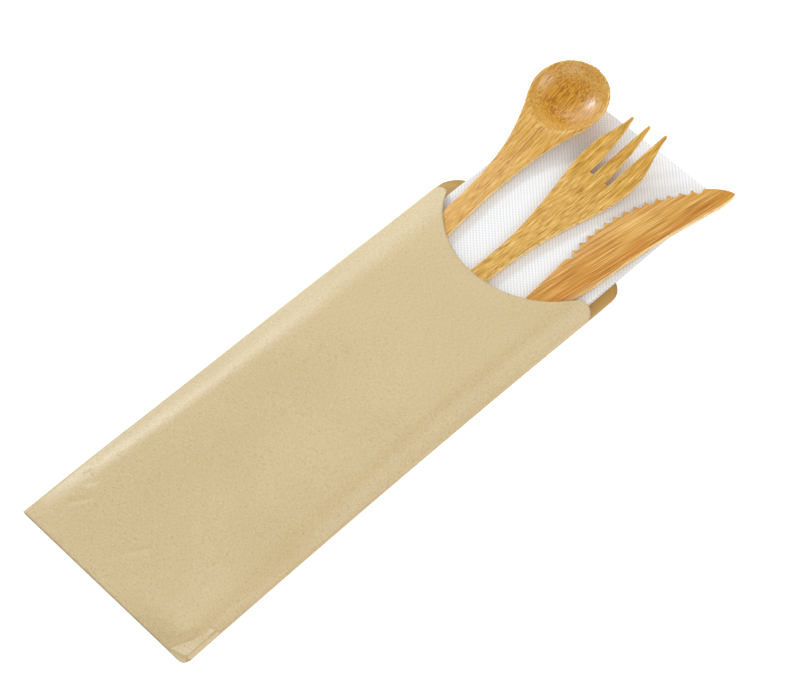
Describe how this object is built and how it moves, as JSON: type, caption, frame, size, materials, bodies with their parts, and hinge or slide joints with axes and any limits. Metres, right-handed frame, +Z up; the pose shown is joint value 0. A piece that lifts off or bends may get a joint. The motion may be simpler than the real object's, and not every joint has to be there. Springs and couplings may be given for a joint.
{
  "type": "wooden cutlery pack",
  "caption": "Flat kraft paper sleeve holding a bamboo spoon, fork and knife and a folded white napkin, with their heads out of its scooped mouth.",
  "frame": {"origin": "middle of the sleeve's back, between its closed end and its ears, on the table", "axes": "+X across the sleeve towards the knife, +Y from the closed end to the mouth, +Z up from the table"},
  "size_m": [0.1, 0.3254, 0.019],
  "materials": {
    "kraft_paper": "matt kraft paper with fine fibre specks",
    "tissue": "soft white embossed tissue",
    "bamboo": "sanded bamboo with fibre dots",
    "dark_bamboo": "sanded bamboo with long fibre streaks"
  },
  "bodies": {
    "root": {"paper_sleeve": "kraft_paper", "napkin": "tissue", "spoon": "bamboo", "fork": "bamboo", "knife": "dark_bamboo"}
  },
  "joints": []
}
